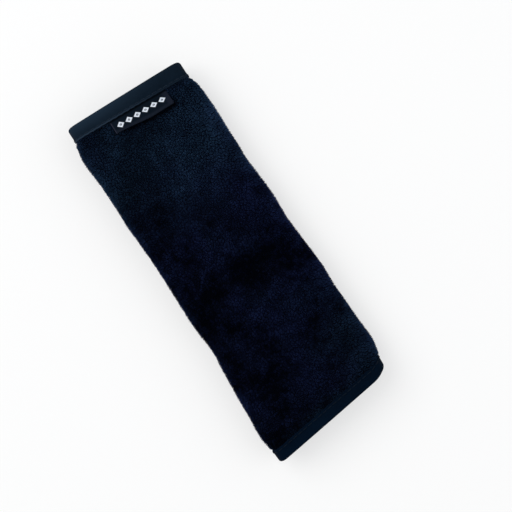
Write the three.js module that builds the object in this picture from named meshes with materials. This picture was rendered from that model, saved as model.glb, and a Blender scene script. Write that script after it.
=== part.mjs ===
// A seat belt shoulder pad: a padded plush sleeve that wraps round car seat belt webbing and
// closes at the back with a hook strip and a loop strip. It lies on its back, as it would come to
// rest on a table. X runs across the webbing, Y along it towards the label, Z out of the plush front.
// All sizes are in millimetres.
//
// The pad is sewn from flat sheets (lining, wadding, plush) that are stacked, bound at both ends
// and wrapped once round the webbing. So every piece is described in the sheets' own terms: a
// station on the wrap line, a place y along the pad, and a height n outwards from the lining's face.
import * as THREE from 'three';

// Driving dimensions
const WEBBING_WIDTH = 48;
const PAD_LENGTH = 165.4;
const SIDE_ROOM = 2.2; // from each edge of the webbing to the lining
const PASSAGE_HEIGHT = 5.2; // room for the webbing between the back and the front
const LINING = 0.5;
const PLUSH = 1.6;
const FRONT_WADDING = 2.7; // at the middle of the front
const FOLD_WADDING = 1.5;
const FLAP_WADDING = 0.6; // stitched flat beside the closure
const LAYER_GAP = 0.2;
const BOUND_PLUSH = 0.8; // the plush where a binding squeezes it
const BOUND_WADDING = 0.45; // share of the wadding's height left under a binding
const BINDING_WIDTH = 6.5;
const BINDING_TAPE = 0.5;
const BINDING_NOSE = 1.1; // rounding where the tape turns over the end
const SHOULDER = 8; // length over which the pad swells out of a binding
const OVERLAP = 25; // of the outer flap over the inner flap
const OVERLAP_CENTRE = -1.5;
const RAMP = 11.3; // width in which the outer flap steps down below the inner flap
const STRIP_WIDTH = 20;
const STRIP_THICKNESS = 0.9;
const STRIP_EDGE = 1.5; // from a flap's free edge to its strip
const STRIP_END = 15; // from the pad's end to the strip's end, past the shoulder
const THREAD = 0.35;
const THREAD_LIE = 0.08; // between a thread and the cloth it lies on
const THREAD_INSET = 1; // from a strip's or a binding's edge to its seam
const SEAM_GROOVE = 0.5; // how deep the seam pulls the pile in
const SEAM_GROOVE_REACH = 0.9;
const FREE_EDGE_LIP = 1.2; // plush turned in round a flap's free edge
const FREE_EDGE_ROUND = 0.6;
const LABEL_LEFT = -11;
const LABEL_WIDTH = 27.7;
const LABEL_DROP = 6.4; // below the binding's edge, at the label's left end
const LABEL_SLANT = 1.9; // how much further it drops towards the right end
const LABEL_TAPE = 0.25;
const LABEL_SLOT = 0.2; // between the two halves of the folded label
const LABEL_LIFT = 0.8; // how far the right end of the fold stands off the plush
const LABEL_STATIONS = 6;

// How the pad has settled, as small changes to the straight shape
const FOLD_DRAW = 0.9; // how far a binding draws the side folds in
const FRONT_SPREAD = 1; // how far the squeezed front moves outwards under a binding
const BACK_SPREAD = -0.1; // the squeezed flaps stay off the surface that the pad lies on
const BOTTOM_SKEW = 7.6; // how much higher the bottom end is at the right side
const TOP_SKEW = -0.95;
const TOP_EDGE_SKEW = -1.8; // the same for the top binding's inner edge, which slants more than the end
const EDGE_SHIFT = 1; // how far the inner edges of both bindings have moved towards the bottom end
const EDGE_REACH = 6;
const CORNER_CURL = 3.4; // how far the bottom end's right corner is rounded off
const CORNER_REACH = 9;
const CREASE_DEPTH = 0.9;
const CREASE_Y = -7;
const CREASE_X = 9;
const CREASE_REACH_Y = 7;
const CREASE_REACH_X = 17;
// How far the left and the right side stand out from the straight side, at places along the pad
const LEFT_SIDE = [[85, 0.4], [64, 0.5], [51, -0.3], [36, 0.1], [14, -0.6], [-17, 0], [-30, -1.1], [-44, 0.3], [-66, 1.9], [-76, 2.8], [-88, 2.1]];
const RIGHT_SIDE = [[85, -0.4], [72, -0.5], [60, 0], [29, -0.6], [14, 0.4], [-3, 0], [-26, 1.6], [-36, 0.9], [-58, 1.4], [-69, 1.9], [-88, 1.1]];

// Levels and places that follow from the driving dimensions
const HALF_LENGTH = PAD_LENGTH / 2;
const HALF_PASSAGE = WEBBING_WIDTH / 2 + SIDE_ROOM;
const SHEET_END = HALF_LENGTH - BINDING_TAPE - LAYER_GAP;
const BINDING_EDGE = HALF_LENGTH - BINDING_WIDTH;
const FLAP_HEIGHT = LINING + FLAP_WADDING + PLUSH + 2 * LAYER_GAP;
const OUTER_FLAP_Z = FLAP_HEIGHT;
const CLOSURE_HEIGHT = 2 * STRIP_THICKNESS + 3 * LAYER_GAP;
const PASSAGE_FLOOR = OUTER_FLAP_Z + CLOSURE_HEIGHT + FLAP_HEIGHT;
const PASSAGE_CEILING = PASSAGE_FLOOR + PASSAGE_HEIGHT;
const FOLD_RADIUS = PASSAGE_HEIGHT / 2;
const FOLD_X = HALF_PASSAGE - FOLD_RADIUS;
const FOLD_Z = PASSAGE_FLOOR + FOLD_RADIUS;
const INNER_FREE_EDGE = OVERLAP_CENTRE + OVERLAP / 2;
const OUTER_FREE_EDGE = OVERLAP_CENTRE - OVERLAP / 2;
const STRIP_HALF_LENGTH = HALF_LENGTH - STRIP_END;
const SEAM_DISTANCES = [STRIP_EDGE + THREAD_INSET, STRIP_EDGE + STRIP_WIDTH - THREAD_INSET];

function smooth(value, from, to) {
  const share = THREE.MathUtils.clamp((value - from) / (to - from), 0, 1);
  return share * share * (3 - 2 * share);
}
const bell = (distance, reach) => Math.exp(-((distance / reach) ** 2));

// The wrap line: the lining's face, seen from the label end, from the inner flap's free edge left
// along the back, up round the left fold, across the front, down round the right fold and back
// under the inner flap to the outer flap's free edge. "wadding" is the padding's height there.
function wrapLine() {
  const point = (x, z) => new THREE.Vector2(x, z);
  const line = (fromX, toX, z) => new THREE.LineCurve(point(fromX, z), point(toX, z));
  const steps = (count) => Array.from({ length: count }, (_, i) => i / count);
  const marks = flapMarks();
  const flapEnd = marks.at(-1);
  const innerLength = INNER_FREE_EDGE + FOLD_X;
  const rampEnd = FOLD_X - RAMP;
  const rampMiddle = (FOLD_X + rampEnd) / 2;
  const outerLength = rampEnd - OUTER_FREE_EDGE;
  const runs = [
    {
      curve: line(INNER_FREE_EDGE, -FOLD_X, PASSAGE_FLOOR),
      shares: [...marks, (2 * flapEnd + innerLength) / 3, (flapEnd + 2 * innerLength) / 3].map((mark) => mark / innerLength),
      wadding: (t) => FLAP_WADDING + (FOLD_WADDING - FLAP_WADDING) * smooth(t * innerLength, flapEnd, innerLength),
    },
    {
      curve: new THREE.EllipseCurve(-FOLD_X, FOLD_Z, FOLD_RADIUS, FOLD_RADIUS, -Math.PI / 2, Math.PI / 2, true),
      shares: steps(6), wadding: () => FOLD_WADDING,
    },
    { curve: line(-FOLD_X, FOLD_X, PASSAGE_CEILING), shares: steps(8), wadding: frontWadding },
    {
      curve: new THREE.EllipseCurve(FOLD_X, FOLD_Z, FOLD_RADIUS, FOLD_RADIUS, Math.PI / 2, -Math.PI / 2, true),
      shares: steps(6), wadding: () => FOLD_WADDING,
    },
    {
      curve: new THREE.CubicBezierCurve(
        point(FOLD_X, PASSAGE_FLOOR), point(rampMiddle, PASSAGE_FLOOR), point(rampMiddle, OUTER_FLAP_Z), point(rampEnd, OUTER_FLAP_Z)),
      shares: steps(6), wadding: (t) => FOLD_WADDING + (FLAP_WADDING - FOLD_WADDING) * smooth(t, 0, 1),
    },
    {
      curve: line(rampEnd, OUTER_FREE_EDGE, OUTER_FLAP_Z),
      shares: [0, ...marks.map((mark) => 1 - mark / outerLength).reverse()], wadding: () => FLAP_WADDING,
    },
  ];
  return runs.flatMap(({ curve, shares, wadding }) => shares.map((t) => {
    const at = curve.getPoint(t);
    const tangent = curve.getTangent(t);
    return { x: at.x, z: at.y, normal: point(-tangent.y, tangent.x), wadding: wadding(t) };
  }));
}

// Distances from a flap's free edge at which its section changes: the turned edge and the seams
function flapMarks() {
  const seams = SEAM_DISTANCES.flatMap((at) => [at - SEAM_GROOVE_REACH, at, at + SEAM_GROOVE_REACH]);
  return [0, FREE_EDGE_LIP, FREE_EDGE_LIP + LAYER_GAP, ...seams];
}

// Height of the wadding across the front, from the left fold (0) to the right fold (1)
function frontWadding(share) {
  return FOLD_WADDING + (FRONT_WADDING - FOLD_WADDING) * Math.sin(Math.PI * share) ** 0.7;
}

// 0 along the pad, 1 under the bindings, with a rounded shoulder between
const endSqueeze = (y) => smooth(Math.abs(y), BINDING_EDGE - SHOULDER, BINDING_EDGE - 0.5);

// Heights of the layers above the lining's face at a station and a place along the pad
function layerHeights(station, y) {
  const squeeze = endSqueeze(y);
  const isFront = station.normal.y > 0.5;
  const crease = isFront ? CREASE_DEPTH * bell(y - CREASE_Y, CREASE_REACH_Y) * bell(station.x - CREASE_X, CREASE_REACH_X) : 0;
  const wadding = station.wadding * (1 - (1 - BOUND_WADDING) * squeeze) - crease;
  const plush = PLUSH + (BOUND_PLUSH - PLUSH) * squeeze;
  const waddingLow = LINING + LAYER_GAP;
  const waddingTop = waddingLow + wadding;
  const plushLow = waddingTop + LAYER_GAP;
  return { waddingLow, waddingTop, plushLow, plushTop: plushLow + plush };
}

// How far the settled side stands out at y, from a few points along that side
function sideCurve(points) {
  const curve = new THREE.SplineCurve(points.map(([y, out]) => new THREE.Vector2(y, out)));
  const samples = curve.getPoints(120);
  return (y) => {
    const next = samples.findIndex((sample) => sample.x <= y);
    if (next <= 0) return samples.at(next).y;
    const [high, low] = [samples[next - 1], samples[next]];
    return THREE.MathUtils.mapLinear(y, low.x, high.x, low.y, high.y);
  };
}
const leftSide = sideCurve(LEFT_SIDE);
const rightSide = sideCurve(RIGHT_SIDE);

// From the sheets' own terms to the settled pad
function place(station, y, n) {
  const { x: nx, y: nz } = station.normal;
  const spread = nz > 0 ? FRONT_SPREAD : BACK_SPREAD;
  const out = n + endSqueeze(y) * (-FOLD_DRAW + (spread + FOLD_DRAW) * nz * nz);
  const x = station.x + nx * out;
  const z = station.z + nz * out;
  const share = THREE.MathUtils.clamp((x / HALF_PASSAGE + 1) / 2, 0, 1);
  const sideways = -leftSide(y) * (1 - share) + rightSide(y) * share;
  const atEdge = bell(Math.abs(y) - BINDING_EDGE, EDGE_REACH);
  const edgeSkew = y > 0 ? TOP_EDGE_SKEW * atEdge : 0;
  const skew = BOTTOM_SKEW * smooth(y, 0, -HALF_LENGTH) + TOP_SKEW * smooth(y, 0, HALF_LENGTH) + edgeSkew;
  const curl = CORNER_CURL * smooth(y, 2 * SHOULDER - BINDING_EDGE, -HALF_LENGTH) * Math.max(0, (x - HALF_PASSAGE) / CORNER_REACH + 0.6) ** 2;
  return new THREE.Vector3(x + sideways, y - EDGE_SHIFT * atEdge + skew * (share - 0.5) + curl, z);
}

// A closed body from rings of points. A ring runs along one side of a section and back along the
// other side, point for point, so the first and the last ring are closed by pairing the two sides.
// Neighbouring rings are joined by a band of triangles, split the same way on both sides so that
// stacked sheets stay parallel.
function bodyFromRings(rings) {
  const size = rings[0].length;
  const points = rings.flat();
  const faces = [];
  const addQuad = (a, b, c, d) => faces.push([a, b, c], [a, c, d]);
  for (let i = 0; i < size / 2 - 1; i++) {
    const last = points.length - size;
    addQuad(i, size - 1 - i, size - 2 - i, i + 1);
    addQuad(last + i, last + i + 1, last + size - 2 - i, last + size - 1 - i);
  }
  for (let start = 0; start < points.length - size; start += size) {
    for (let i = 0; i < size; i++) {
      const next = start + ((i + 1) % size);
      const quad = [start + i, next, next + size, start + i + size];
      addQuad(...(i < size / 2 ? quad : [...quad.slice(1), quad[0]]));
    }
  }
  const volume = faces.reduce((sum, [a, b, c]) => sum + points[a].dot(points[b].clone().cross(points[c])), 0);
  const outward = volume > 0 ? faces : faces.map(([a, b, c]) => [a, c, b]);
  const geometry = new THREE.BufferGeometry().setFromPoints(points);
  geometry.setIndex(outward.flat());
  geometry.computeVertexNormals();
  return geometry;
}

// A sheet, strip or thread that runs along the pad. Its section lists [station, height] corners,
// where height is a function of the layer heights.
function alongPad(section, rows) {
  return bodyFromRings(rows.map((y) => section.map(([station, height]) => place(station, y, height(layerHeights(station, y))))));
}

// A tape or thread that runs round the wrap line. Its section lists [y, height] corners.
function roundPad(section) {
  return bodyFromRings(stations.map((station) => section.map(([y, height]) => place(station, y, height(layerHeights(station, y))))));
}

const stations = wrapLine();
const core = stations.slice(2, -2); // between the plush's turned edges

// Places along the pad where sheets are cut into rows: close at the shoulders, open between
const SHOULDER_ROWS = [SHEET_END, BINDING_EDGE - 0.5, BINDING_EDGE - SHOULDER * 0.45, BINDING_EDGE - SHOULDER];
const OPEN_ROWS = 8;
const openRows = Array.from({ length: OPEN_ROWS - 1 }, (_, i) => (BINDING_EDGE - SHOULDER) * (1 - (2 * (i + 1)) / OPEN_ROWS));
const sheetRows = [...SHOULDER_ROWS, ...openRows, ...SHOULDER_ROWS.map((y) => -y).reverse()];

// The plush: its pile side out, and both long edges turned in round the wadding
function plushCover() {
  const turnedEdge = (edge, inward) => ({
    outside: [[edge, () => FREE_EDGE_ROUND * 0.7], [edge, (layers) => layers.plushTop - FREE_EDGE_ROUND]],
    inside: [[inward, () => 0], [inward, (layers) => layers.plushLow / 2]],
  });
  const first = turnedEdge(stations[0], stations[1]);
  const last = turnedEdge(stations.at(-1), stations.at(-2));
  const between = stations.slice(1, -1);
  const outside = [...first.outside, ...between.map((station) => [station, pileTop(station)]), ...last.outside.reverse()];
  const inside = [...first.inside, ...between.map((station) => [station, (layers) => layers.plushLow]), ...last.inside.reverse()];
  return alongPad([...outside, ...inside.reverse()], sheetRows);
}

// The pile's top, pulled in on the outer flap where the seams of the hook strip run
function pileTop(station) {
  const isOuterFlap = station.z === OUTER_FLAP_Z;
  const isOnSeam = SEAM_DISTANCES.some((seam) => Math.abs(station.x - OUTER_FREE_EDGE - seam) < SEAM_GROOVE_REACH / 2);
  return (layers) => layers.plushTop - (isOuterFlap && isOnSeam ? SEAM_GROOVE : 0);
}

function coreSheet(low, top) {
  const outside = core.map((station) => [station, top]);
  const inside = [...core].reverse().map((station) => [station, low]);
  return alongPad([...outside, ...inside], sheetRows);
}

// An end binding: one tape folded over the stacked sheets, with a leg inside and a leg outside
function endBinding(end) {
  const wall = SHEET_END + LAYER_GAP;
  const reach = LAYER_GAP + BINDING_TAPE;
  const turned = [0, 1, 2].map((step) => {
    const angle = ((step + 0.5) / 3) * (Math.PI / 2);
    return [HALF_LENGTH - BINDING_NOSE * (1 - Math.sin(angle)), BINDING_NOSE * (1 - Math.cos(angle))];
  });
  const outside = [
    [BINDING_EDGE, () => -reach],
    ...turned.map(([y, down]) => [y, () => down - reach]),
    ...turned.map(([y, down]) => [y, (layers) => layers.plushTop + reach - down]).reverse(),
    [BINDING_EDGE, (layers) => layers.plushTop + reach],
  ];
  const inside = [
    [BINDING_EDGE, () => -LAYER_GAP],
    ...[0, 0.2, 0.4, 0.6, 0.8, 1].map((share) => [wall, (layers) => share * layers.plushTop + (2 * share - 1) * LAYER_GAP]),
    [BINDING_EDGE, (layers) => layers.plushTop + LAYER_GAP],
  ];
  return roundPad([...outside, ...inside.reverse()].map(([y, height]) => [y * end, height]));
}

// The thread that holds a binding, along its edge on the outside
function bindingThread(end) {
  const middle = BINDING_EDGE + THREAD_INSET;
  const base = LAYER_GAP + BINDING_TAPE + THREAD_LIE;
  return roundPad(threadSection(base).map(([aside, rise]) => [(middle + aside) * end, (layers) => layers.plushTop + rise]));
}

// Six corners of a thread: how far aside, and how far off the cloth
function threadSection(base) {
  return Array.from({ length: 6 }, (_, i) => {
    const angle = (i / 6) * 2 * Math.PI;
    return [(THREAD / 2) * Math.cos(angle), base + THREAD / 2 + (THREAD / 2) * Math.sin(angle)];
  });
}

// A flat piece on a flap. "side" is +1 on the plush side and -1 on the lining side.
const flapLevel = (side, rise) => (layers) => (side > 0 ? layers.plushTop + rise : -rise);
const flapStation = (x, z, up) => ({ x, z, normal: new THREE.Vector2(0, up), wadding: FLAP_WADDING });
const innerFlapStation = (distance) => flapStation(INNER_FREE_EDGE - distance, PASSAGE_FLOOR, -1);
const outerFlapStation = (distance) => flapStation(OUTER_FREE_EDGE + distance, OUTER_FLAP_Z, -1);
const stripRows = [STRIP_HALF_LENGTH, ...openRows, -STRIP_HALF_LENGTH];

function closureStrip(stationAt, side) {
  const [near, far] = [stationAt(STRIP_EDGE), stationAt(STRIP_EDGE + STRIP_WIDTH)];
  const [low, high] = [flapLevel(side, LAYER_GAP), flapLevel(side, LAYER_GAP + STRIP_THICKNESS)];
  return alongPad([[near, low], [near, high], [far, high], [far, low]], stripRows);
}

function closureThread(stationAt, side, distance, sink) {
  const section = threadSection(THREAD_LIE - sink);
  return alongPad(section.map(([aside, rise]) => [stationAt(distance + aside), flapLevel(side, rise)]), stripRows);
}

// The label: a short tape folded in half, its cut ends caught under the top binding. Corners are
// listed as [share of the way down, height over the plush].
function foldedLabel() {
  const [top, thickness] = [BINDING_EDGE - LAYER_GAP, 2 * LABEL_TAPE + LABEL_SLOT];
  const outside = [[0, 0], [0.5, 0], [1, 0.12], [1, thickness - 0.12], [0.5, thickness], [0, thickness]];
  const slot = [[0, 0], [0.5, 0], [0.94, 0], [0.94, LABEL_SLOT], [0.5, LABEL_SLOT], [0, LABEL_SLOT]];
  const section = [...outside, ...slot.map(([down, rise]) => [down, rise + LABEL_TAPE]).reverse()];
  return bodyFromRings(Array.from({ length: LABEL_STATIONS }, (_, i) => {
    const across = i / (LABEL_STATIONS - 1);
    const x = LABEL_LEFT + LABEL_WIDTH * across;
    const station = { x, z: PASSAGE_CEILING, normal: new THREE.Vector2(0, 1), wadding: frontWadding((x / FOLD_X + 1) / 2) };
    return section.map(([down, rise]) => {
      const y = top - down * (LABEL_DROP + LABEL_SLANT * smooth(across, 0, 0.7));
      const lift = LABEL_LIFT * down * down * (0.3 + 0.7 * across);
      return place(station, y, layerHeights(station, y).plushTop + LAYER_GAP + lift + rise);
    });
  }));
}

const cloth = (color, roughness) => new THREE.MeshStandardMaterial({ color, roughness, metalness: 0 });
const materials = {
  plush: cloth(0x0c131c, 0.95),
  wadding: cloth(0xd9d9d4, 1),
  lining: cloth(0x15181d, 0.9),
  binding: cloth(0x141d27, 0.85),
  closure: cloth(0x131417, 0.8),
  thread: cloth(0x27313d, 0.6),
  label: cloth(0x0b0d11, 0.6),
};

const pad = new THREE.Group();
function add(name, geometry, material) {
  const mesh = new THREE.Mesh(geometry, material);
  mesh.name = name;
  pad.add(mesh);
}

add('plush_cover', plushCover(), materials.plush);
add('wadding', coreSheet((layers) => layers.waddingLow, (layers) => layers.waddingTop), materials.wadding);
add('lining', coreSheet(() => 0, () => LINING), materials.lining);
add('top_binding', endBinding(1), materials.binding);
add('bottom_binding', endBinding(-1), materials.binding);
add('top_binding_thread', bindingThread(1), materials.thread);
add('bottom_binding_thread', bindingThread(-1), materials.thread);
add('loop_strip', closureStrip(innerFlapStation, 1), materials.closure);
add('hook_strip', closureStrip(outerFlapStation, -1), materials.closure);
SEAM_DISTANCES.forEach((distance, i) => {
  const seam = ['edge', 'inner'][i];
  add(`loop_strip_${seam}_thread`, closureThread(innerFlapStation, -1, distance, 0), materials.thread);
  add(`hook_strip_${seam}_thread`, closureThread(outerFlapStation, 1, distance, SEAM_GROOVE), materials.thread);
});
add('folded_label', foldedLabel(), materials.label);

// The origin is under the middle of the whole pad, on the surface that it lies on
const box = new THREE.Box3().setFromObject(pad);
const middle = box.getCenter(new THREE.Vector3());
pad.position.set(-middle.x, -middle.y, -box.min.z);

export default pad;
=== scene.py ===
"""A seat belt shoulder pad: a sleeve of blue-black plush with bound ends and a small folded label.

It lies on its closed back, label end towards +Y. Shapes are worked out in millimetres.
"""

import bpy
import numpy as np
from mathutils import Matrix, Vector


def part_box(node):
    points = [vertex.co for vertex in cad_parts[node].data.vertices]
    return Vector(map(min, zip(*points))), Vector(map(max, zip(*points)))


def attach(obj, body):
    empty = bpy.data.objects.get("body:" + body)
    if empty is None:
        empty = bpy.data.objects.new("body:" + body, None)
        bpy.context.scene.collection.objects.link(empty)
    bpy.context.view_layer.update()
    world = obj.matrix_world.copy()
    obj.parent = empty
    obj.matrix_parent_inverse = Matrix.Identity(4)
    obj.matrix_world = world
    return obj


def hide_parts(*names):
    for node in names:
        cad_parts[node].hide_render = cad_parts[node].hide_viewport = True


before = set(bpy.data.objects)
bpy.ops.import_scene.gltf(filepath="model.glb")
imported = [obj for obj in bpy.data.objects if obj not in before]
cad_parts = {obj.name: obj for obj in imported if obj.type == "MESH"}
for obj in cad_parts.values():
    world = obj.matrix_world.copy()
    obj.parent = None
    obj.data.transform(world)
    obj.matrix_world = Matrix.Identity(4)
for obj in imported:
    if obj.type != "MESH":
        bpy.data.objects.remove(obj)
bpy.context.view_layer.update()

# Lining and wadding
# A thin black knit faces the passage, and a white fibre sheet lies between it and the plush. The
# sheets are stacked flat, bound at both ends and wrapped once round the passage, so a place on
# them is a station on the wrap line, a distance y along the pad and a height n out of the lining.
MM = 0.001
WEBBING_WIDTH = 48
PAD_LENGTH = 165.4
SIDE_ROOM = 2.2
PASSAGE_HEIGHT = 5.2
LINING = 0.5
PLUSH = 1.6
FRONT_WADDING = 2.7
FOLD_WADDING = 1.5
FLAP_WADDING = 0.6
LAYER_GAP = 0.2
BOUND_PLUSH = 0.8
BOUND_WADDING = 0.45
BINDING_WIDTH = 6.5
BINDING_TAPE = 0.5
SHOULDER = 8
OVERLAP = 25
OVERLAP_CENTRE = -1.5
RAMP = 11.3
STRIP_THICKNESS = 0.9
FREE_EDGE_LIP = 1.2
FOLD_DRAW = 0.9
FRONT_SPREAD = 1
BACK_SPREAD = -0.1
BOTTOM_SKEW = 7.6
TOP_SKEW = -0.95
TOP_EDGE_SKEW = -1.8  # the top binding's inner edge slants more than the end
EDGE_SHIFT = 1  # of both bindings' inner edges towards the bottom end
EDGE_REACH = 6
CORNER_CURL = 3.4
CORNER_REACH = 9
CREASE_DEPTH = 0.9
CREASE_Y, CREASE_X = -7, 9
CREASE_REACH_Y, CREASE_REACH_X = 7, 17
LEFT_SIDE = [
    (85, 0.4), (64, 0.5), (51, -0.3), (36, 0.1), (14, -0.6), (-17, 0), (-30, -1.1), (-44, 0.3), (-66, 1.9),
    (-76, 2.8), (-88, 2.1),
]
RIGHT_SIDE = [
    (85, -0.4), (72, -0.5), (60, 0), (29, -0.6), (14, 0.4), (-3, 0), (-26, 1.6), (-36, 0.9), (-58, 1.4),
    (-69, 1.9), (-88, 1.1),
]

HALF_LENGTH = PAD_LENGTH / 2
HALF_PASSAGE = WEBBING_WIDTH / 2 + SIDE_ROOM
SHEET_END = HALF_LENGTH - BINDING_TAPE - LAYER_GAP
BINDING_EDGE = HALF_LENGTH - BINDING_WIDTH
FLAP_HEIGHT = LINING + FLAP_WADDING + PLUSH + 2 * LAYER_GAP
PASSAGE_FLOOR = 2 * FLAP_HEIGHT + 2 * STRIP_THICKNESS + 3 * LAYER_GAP
PASSAGE_CEILING = PASSAGE_FLOOR + PASSAGE_HEIGHT
FOLD_RADIUS = PASSAGE_HEIGHT / 2
FOLD_X = HALF_PASSAGE - FOLD_RADIUS
INNER_FREE_EDGE = OVERLAP_CENTRE + OVERLAP / 2
OUTER_FREE_EDGE = OVERLAP_CENTRE - OVERLAP / 2
INNER_FLAP = INNER_FREE_EDGE, -1, PASSAGE_FLOOR  # free edge, the way in from it, lining's height
OUTER_FLAP = OUTER_FREE_EDGE, 1, FLAP_HEIGHT
FLAP_END = 21.4  # from a free edge to where the flap begins to thicken
FLAT = 0.9  # a sheet is flat where its normal stands up or down by more than this


def smooth(value, start, end):
    """0 up to start, 1 past end, and an S between them: 3t^2 - 2t^3."""
    share = np.clip((value - start) / (end - start), 0, 1)
    return share * share * (3 - 2 * share)


def bell(distance, reach):
    """1 at no distance, fading as exp(-(distance / reach)^2)."""
    return np.exp(-((distance / reach) ** 2))


def wrap_line(spacing):
    """Stations x, z, normal x, normal z and wadding height, evenly spaced as measured on the plush:
    inner flap, half circle, front, half circle, S-shaped ramp down, outer flap."""
    t = np.linspace(0, 1, 300)
    turn = np.pi * t
    level = np.ones_like(t)
    inner_length = INNER_FREE_EDGE + FOLD_X
    ramp_end = FOLD_X - RAMP
    ramp_x = FOLD_X - RAMP * (1.5 * t * (1 - t) ** 2 + 1.5 * t**2 * (1 - t) + t**3)
    ramp_z = PASSAGE_FLOOR + (FLAP_HEIGHT - PASSAGE_FLOOR) * (3 * t**2 * (1 - t) + t**3)
    x = np.concatenate([
        INNER_FREE_EDGE - inner_length * t,
        -FOLD_X - FOLD_RADIUS * np.sin(turn),
        FOLD_X * (2 * t - 1),
        FOLD_X + FOLD_RADIUS * np.sin(turn),
        ramp_x,
        ramp_end - (ramp_end - OUTER_FREE_EDGE) * t,
    ])
    z = np.concatenate([
        PASSAGE_FLOOR * level,
        PASSAGE_FLOOR + FOLD_RADIUS * (1 - np.cos(turn)),
        PASSAGE_CEILING * level,
        PASSAGE_FLOOR + FOLD_RADIUS * (1 + np.cos(turn)),
        ramp_z,
        FLAP_HEIGHT * level,
    ])
    thick = FOLD_WADDING - FLAP_WADDING
    wadding = np.concatenate([
        FLAP_WADDING + thick * smooth(t * inner_length, FLAP_END, inner_length),
        FOLD_WADDING * level,
        FOLD_WADDING + (FRONT_WADDING - FOLD_WADDING) * np.sin(turn) ** 0.7,
        FOLD_WADDING * level,
        FOLD_WADDING - thick * smooth(t, 0, 1),
        FLAP_WADDING * level,
    ])
    apart = np.append(True, np.hypot(np.diff(x), np.diff(z)) > 1e-6)
    x, z, wadding = x[apart], z[apart], wadding[apart]
    dx, dz = np.gradient(x), np.gradient(z)
    speed = np.hypot(dx, dz)
    line = np.stack([x, z, -dz / speed, dx / speed, wadding])
    plush_x, plush_z = x + 4 * line[2], z + 4 * line[3]
    length = np.append(0, np.cumsum(np.hypot(np.diff(plush_x), np.diff(plush_z))))
    even = np.linspace(0, length[-1], int(round(length[-1] / spacing)) + 1)
    line = np.stack([np.interp(even, length, row) for row in line])
    line[2:4] /= np.hypot(line[2], line[3])
    return line


def flap_line(flap, distances):
    """Stations on a flat flap at distances from its free edge, their outer side facing down."""
    edge, inward, height = flap
    level = np.ones_like(distances)
    return np.stack([edge + inward * distances, height * level, 0 * level, -level, FLAP_WADDING * level])


def clear_of_edges(line, distance):
    """Which stations lie further than a distance from both flaps' free edges."""
    flaps = (INNER_FLAP, OUTER_FLAP)
    apart = [np.hypot(line[0] - edge, line[1] - height) for edge, inward, height in flaps]
    return np.min(apart, axis=0) > distance


def side_share(normal_x):
    """0 on the front and the flaps, and 1 on the rounded sides."""
    return smooth(np.abs(normal_x), 0.3, 0.9)


def end_squeeze(y):
    """0 along the pad and 1 under the bindings."""
    return smooth(np.abs(y), BINDING_EDGE - SHOULDER, BINDING_EDGE - 0.5)


def layers(line, y):
    """Heights of the wadding's top, the plush's back and the plush's top over the lining's face."""
    squeeze = end_squeeze(y)
    dent = CREASE_DEPTH * bell(y - CREASE_Y, CREASE_REACH_Y) * bell(line[0] - CREASE_X, CREASE_REACH_X)
    wadding = line[4] * (1 - (1 - BOUND_WADDING) * squeeze) - dent * smooth(line[3], 0.2, 0.9)
    plush_low = LINING + 2 * LAYER_GAP + wadding
    return plush_low - LAYER_GAP, plush_low, plush_low + PLUSH + (BOUND_PLUSH - PLUSH) * squeeze


def side_out(points, y):
    """How far a side stands out at y: straight lines between the points, averaged over a few mm."""
    fine = np.arange(-95, 95.5, 0.5)
    out = np.interp(fine, *np.array(points[::-1], float).T)
    weights = bell(np.arange(-10, 10.5, 0.5), 4)
    return np.interp(y, fine, np.convolve(np.pad(out, 20, mode="edge"), weights / weights.sum(), "valid"))


def place(line, y, n):
    """Where station, y and n lie on the settled pad, which is drawn in at its bound ends, wavy at
    its sides, slanted at both ends and curled at one corner."""
    x, z, nx, nz = line[:4]
    squeeze = end_squeeze(y)
    spread = np.where(nz > 0, FRONT_SPREAD, BACK_SPREAD)
    out = n + squeeze * (-FOLD_DRAW + (spread + FOLD_DRAW) * nz * nz)
    x, z = x + nx * out, z + nz * out
    share = np.clip((x / HALF_PASSAGE + 1) / 2, 0, 1)
    sideways = side_out(RIGHT_SIDE, y) * share - side_out(LEFT_SIDE, y) * (1 - share)
    at_edge = bell(np.abs(y) - BINDING_EDGE, EDGE_REACH)
    skew = BOTTOM_SKEW * smooth(y, 0, -HALF_LENGTH) + TOP_SKEW * smooth(y, 0, HALF_LENGTH)
    skew = skew + TOP_EDGE_SKEW * at_edge * (y > 0)
    curl = CORNER_CURL * smooth(y, 2 * SHOULDER - BINDING_EDGE, -HALF_LENGTH)
    curl = curl * np.maximum(0, (x - HALF_PASSAGE) / CORNER_REACH + 0.6) ** 2
    along = y - EDGE_SHIFT * at_edge + skew * (share - 0.5) + curl
    return np.stack(np.broadcast_arrays(x + sideways, along, z), axis=-1)


def add_mesh(name, points, faces, smooth_faces=True):
    """A mesh object from points in millimetres and faces that all have the same number of corners."""
    mesh = bpy.data.meshes.new(name)
    count, corners = faces.shape
    mesh.vertices.add(len(points))
    mesh.vertices.foreach_set("co", ((points - centre) * MM).astype(np.float32).ravel())
    mesh.loops.add(faces.size)
    mesh.loops.foreach_set("vertex_index", faces.astype(np.int32).ravel())
    mesh.polygons.add(count)
    mesh.polygons.foreach_set("loop_start", np.arange(0, faces.size, corners, dtype=np.int32))
    mesh.polygons.foreach_set("use_smooth", np.full(count, smooth_faces))
    mesh.update(calc_edges=True)
    piece = bpy.data.objects.new(name, mesh)
    bpy.context.scene.collection.objects.link(piece)
    return piece


def band_faces(rings, size):
    """Four-cornered faces between neighbouring rings of a closed outline."""
    ring, corner = np.meshgrid(np.arange(rings - 1), np.arange(size), indexing="ij")
    near = ring * size + corner
    side = ring * size + (corner + 1) % size
    return np.stack([near, side, side + size, near + size], axis=-1).reshape(-1, 4)


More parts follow.
